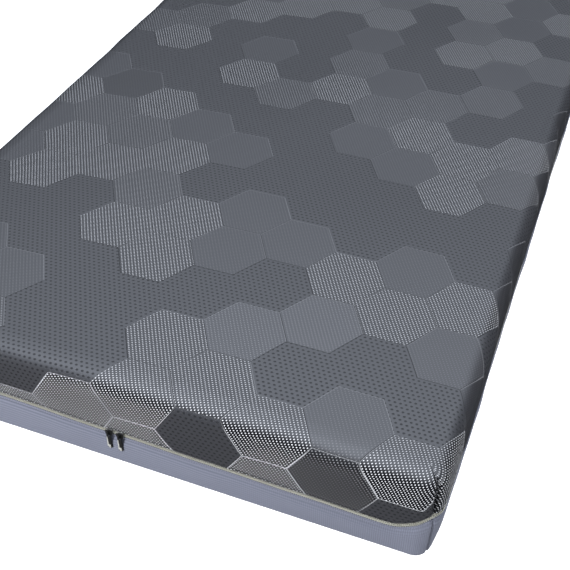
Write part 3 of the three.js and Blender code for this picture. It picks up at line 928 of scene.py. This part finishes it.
# Sliders and their pulls, seen from the foot end: x across, z up, the front towards -Y
slider = {
    "length": 0.01, "reach": 0.0045, "skin": 0.0016, "bevel": 0.00035, "round": 0.0008,
    "noseShare": 0.75, "tailShare": 0.9, "fineBevel": 0.0002, "cheekDepth": 0.0015, "cheekShare": 0.9,
    "cheekHalf": 0.0006, "cheekInset": 0.00085, "cheekRound": 0.0003, "bridgeWidth": 0.0024,
    "bridgeReach": 0.0036, "bridgeRise": 0.0036, "bridgeThickness": 0.001, "bridgeFoot": -0.0005,
    "bridgeRound": 0.00035,
}
pull = {
    "length": 0.029, "topWidth": 0.0056, "endWidth": 0.007, "thickness": 0.0013, "bevel": 0.0003,
    "shoulderShare": 0.4, "shoulderDrop": 0.6,  # of half the width at the top
    "eyeWidth": 0.0034, "eyeLength": 0.005, "eyeRim": 0.0015, "eyeRound": 0.0006, "standoff": 0.0005,
    # Two low raised fields in the pale copy of the metal: the end, a painted reflection, and the edge that
    # leads down beside it on the left only, a painted highlight where the light from the left catches the
    # bevel
    "endFrom": 0.0008, "endTo": 0.007, "endRound": 0.0005, "edgeFrom": 0.003, "edgeRound": 0.0002,
    "fieldThickness": 0.0007, "fieldBevel": 0.0001,
}
sliderFront = -coilOuter + zipSizes["gap"] + slider["skin"]


def bevelledPlate(loops, thickness, bevel):
    # A plate from outlines in x and z, with rounded edges. Its middle lies at y 0.
    data = bpy.data.curves.new("plate", "CURVE")
    data.dimensions = "2D"
    data.fill_mode = "BOTH"
    data.extrude = thickness / 2 - bevel
    data.bevel_depth = bevel
    data.bevel_resolution = 2
    for loop in loops:
        spline = data.splines.new("POLY")
        spline.points.add(len(loop) - 1)
        for point, (x, z) in zip(spline.points, loop):
            point.co = (x, z, 0, 1)
        spline.use_cyclic_u = True
    mesh = plainMesh(addObject("plate", data))
    places = np.array([vertex.co for vertex in mesh.vertices])
    return places[:, [0, 2, 1]] * (1, -1, 1), [tuple(p.vertices) for p in mesh.polygons]


def rectangle(half, low, high):
    return [(-half, low), (half, low), (half, high), (-half, high)]


def roundedOutline(corners, radius, steps=4):
    # The outline with each corner rounded
    made = []
    count = len(corners)
    for n in range(count):
        before, here, after = (np.array(corners[(n + k) % count]) for k in (-1, 0, 1))
        toBefore = (before - here) / np.linalg.norm(before - here) * radius
        toAfter = (after - here) / np.linalg.norm(after - here) * radius
        for t in np.arange(steps + 1) / steps:
            made.append(here + (1 - t) ** 2 * toBefore + t ** 2 * toAfter)
    return made


def metalPiece(name, parts, place):
    # Joins shapes into one object at its place on the foot end. Each has its own metal.
    mesh = bpy.data.meshes.new(name)
    points, faces, metals, count = [], [], [], 0
    for partPoints, partFaces, shift, metal in parts:
        if metal.name not in mesh.materials:
            mesh.materials.append(metal)
        points.append(partPoints + np.array(shift))
        faces += [tuple(n + count for n in face) for face in partFaces]
        metals += [mesh.materials.find(metal.name)] * len(partFaces)
        count += len(partPoints)
    mesh.from_pydata(np.concatenate(points) + place, [], faces)
    mesh.polygons.foreach_set("material_index", metals)
    work = bmesh.new()
    work.from_mesh(mesh)
    bmesh.ops.remove_doubles(work, verts=work.verts, dist=0.000002)
    bmesh.ops.recalc_face_normals(work, faces=work.faces)
    work.to_mesh(mesh)
    work.free()
    mesh.shade_smooth()
    mesh.set_sharp_from_angle(angle=math.radians(35))
    return addObject(name, mesh)


def makeSlider(name, place):
    s = slider
    half, reach = s["length"] / 2, s["reach"]
    nose, tail = s["noseShare"] * reach, s["tailShare"] * reach
    shield = roundedOutline([(-half, -nose), (0, -reach), (half, -tail), (half, tail), (0, reach),
                             (-half, nose)], s["round"])
    face = bevelledPlate([shield], s["skin"], s["bevel"])
    parts = [(*face, (0, -(sliderFront - s["skin"] / 2), 0), darkMetal)]
    cheek = roundedOutline(rectangle(s["cheekShare"] * half, -s["cheekHalf"], s["cheekHalf"]),
                           s["cheekRound"], 2)
    depth = s["skin"] + s["cheekDepth"] + zipSizes["gap"]
    # The cheeks are in the pale copy of the metal, a painted highlight along the slider's upper and lower
    # edges
    for sign in (1, -1):
        flange = bevelledPlate([cheek], depth, s["fineBevel"])
        shift = (0, -(sliderFront - s["bevel"] - depth / 2), sign * (reach - s["cheekInset"]))
        parts.append((*flange, shift, highlightMetal))
    outer, inner = s["bridgeReach"], s["bridgeReach"] - s["bridgeThickness"]
    top, under, foot = s["bridgeRise"], s["bridgeRise"] - s["bridgeThickness"], s["bridgeFoot"]
    arch = roundedOutline([(foot, -outer), (top, -outer), (top, outer), (foot, outer), (foot, inner),
                           (under, inner), (under, -inner), (foot, -inner)], s["bridgeRound"])
    points, faces = bevelledPlate([arch], s["bridgeWidth"], s["fineBevel"])
    turned = sideBySide(points[:, 1], -points[:, 0], points[:, 2])
    parts.append((turned, faces, (0, -sliderFront, 0), darkMetal))
    return metalPiece(name, parts, place)


def makePull(name, place):
    p = pull
    top = -slider["bridgeReach"] + slider["bridgeThickness"] + zipSizes["gap"] + p["eyeRim"]
    bottom = top - p["length"]
    halfTop, halfEnd = p["topWidth"] / 2, p["endWidth"] / 2
    foot = [(halfEnd * math.cos(a), bottom + halfEnd + halfEnd * math.sin(a))
            for a in np.linspace(-math.pi, 0, 15)]
    narrow, drop = p["shoulderShare"] * halfTop, top - p["shoulderDrop"] * halfTop
    shoulder = [(halfTop, drop), (narrow, top), (-narrow, top), (-halfTop, drop)]
    eyeTop = top - p["eyeRim"]
    level = eyeTop - p["eyeLength"]
    eye = roundedOutline(rectangle(p["eyeWidth"] / 2, eyeTop, level), p["eyeRound"])
    plate = bevelledPlate([foot + shoulder, eye], p["thickness"], p["bevel"])
    out = sliderFront + p["standoff"] + p["thickness"] / 2
    parts = [(*plate, (0, -out, 0), darkMetal)]
    wide = p["endWidth"]
    endFrom, endTo, edgeFrom = (bottom + p[name] for name in ("endFrom", "endTo", "edgeFrom"))
    end = roundedOutline([(-0.2 * wide, endFrom), (0.2 * wide, endFrom), (0.2 * wide, endTo),
                          (-0.19 * wide, endTo)], p["endRound"])
    edge = roundedOutline([(-0.48 * wide, edgeFrom), (-0.22 * wide, edgeFrom),
                           (-0.3 * p["topWidth"], level), (-0.48 * p["topWidth"], level)],
                          p["edgeRound"], 2)
    # Both raised fields are painted highlight and painted reflection, in the pale copy of the metal
    for field in (end, edge):
        raised = bevelledPlate([field], p["fieldThickness"], p["fieldBevel"])
        parts.append((*raised, (0, -out - p["thickness"] / 2, 0), highlightMetal))
    return metalPiece(name, parts, place)


pieces = []
for side, x in sliderPlaces.items():
    place = middle + (x, -halfLength, zipHeight(x))
    for make, kind in ((makeSlider, "slider_"), (makePull, "pull_")):
        pieces.append((make(kind + side + "Metal", place), kind + side, "slider_metal"))
print("stage: sliders and pulls hung")

pieces += [(upper, "upper_cover", "upper_knit"), (lower, "lower_cover", "lower_knit"),
           (tapeUpper, "zip_tape_upper", "zip_tape"), (tapeLower, "zip_tape_lower", "zip_tape"),
           (zipCoil, "zip_coil", "zip_coil")]
for piece, node, slotName in pieces:
    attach(piece, "root")
    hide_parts(node)

# A pale floor and soft light
studio = {
    "floorSize": 12, "floorColour": (0.9, 0.9, 0.9, 1), "floorRoughness": 0.9,
    "glowColour": (1, 1, 1, 1), "floorGlow": 0.5,
    "sky": (0.9, 0.97, 1.11, 1), "skyStrength": 1.46, "skyLow": 0.38, "skyHigh": 0.86, "backdrop": 1.3,
    "lights": {
        "key": {"place": (-1.7, -3.8, 0.85), "aim": (0, -0.9, 0.15), "size": 1.4, "power": 430},
        "fill": {"place": (3.2, -0.6, 0.8), "aim": (0.4, -0.6, 0.1), "size": 1.4, "power": 170},
    },
}


def makeFloor():
    half = studio["floorSize"] / 2
    mesh = bpy.data.meshes.new("floor")
    mesh.from_pydata([(*corner, 0) for corner in rectangle(half, -half, half)], [], [(0, 1, 2, 3)])
    material, tree, shader = newMaterial("floor")
    feed(tree, shader.inputs, {
        "Base Color": studio["floorColour"], "Roughness": studio["floorRoughness"],
        "Emission Color": studio["glowColour"], "Emission Strength": studio["floorGlow"]})
    mesh.materials.append(material)
    floor = addObject("floor", mesh)
    floor.visible_glossy = False
    return floor


def softLight(name, place, aim, size, power):
    data = bpy.data.lights.new(name, "AREA")
    data.size = size
    data.energy = power
    light = addObject(name, data)
    light.location = place
    x, y, z = np.subtract(aim, place)
    light.rotation_euler = (math.atan2(math.hypot(x, y), -z), 0, math.atan2(-x, y))
    light.visible_glossy = False


makeFloor()
for name, light in studio["lights"].items():
    softLight(name, **light)
# The sky is bright only high up, and seen directly it is a pale backdrop
world = bpy.data.worlds.new("studio")
world.use_nodes = True
tree = world.node_tree
background = next(node for node in tree.nodes if node.type == "BACKGROUND")
upwards = axisOf(tree, addNode(tree, "ShaderNodeTexCoord").outputs["Generated"], "Z")
sky = fade(tree, upwards, studio["skyLow"], studio["skyHigh"], 0, studio["skyStrength"])
seen = compute(tree, "MULTIPLY", addNode(tree, "ShaderNodeLightPath").outputs["Is Camera Ray"],
               studio["backdrop"])
feed(tree, background.inputs, {"Color": studio["sky"], "Strength": compute(tree, "MAXIMUM", sky, seen)})
bpy.context.scene.world = world
bpy.context.scene.view_settings.view_transform = "Standard"
print("stage: studio lit")
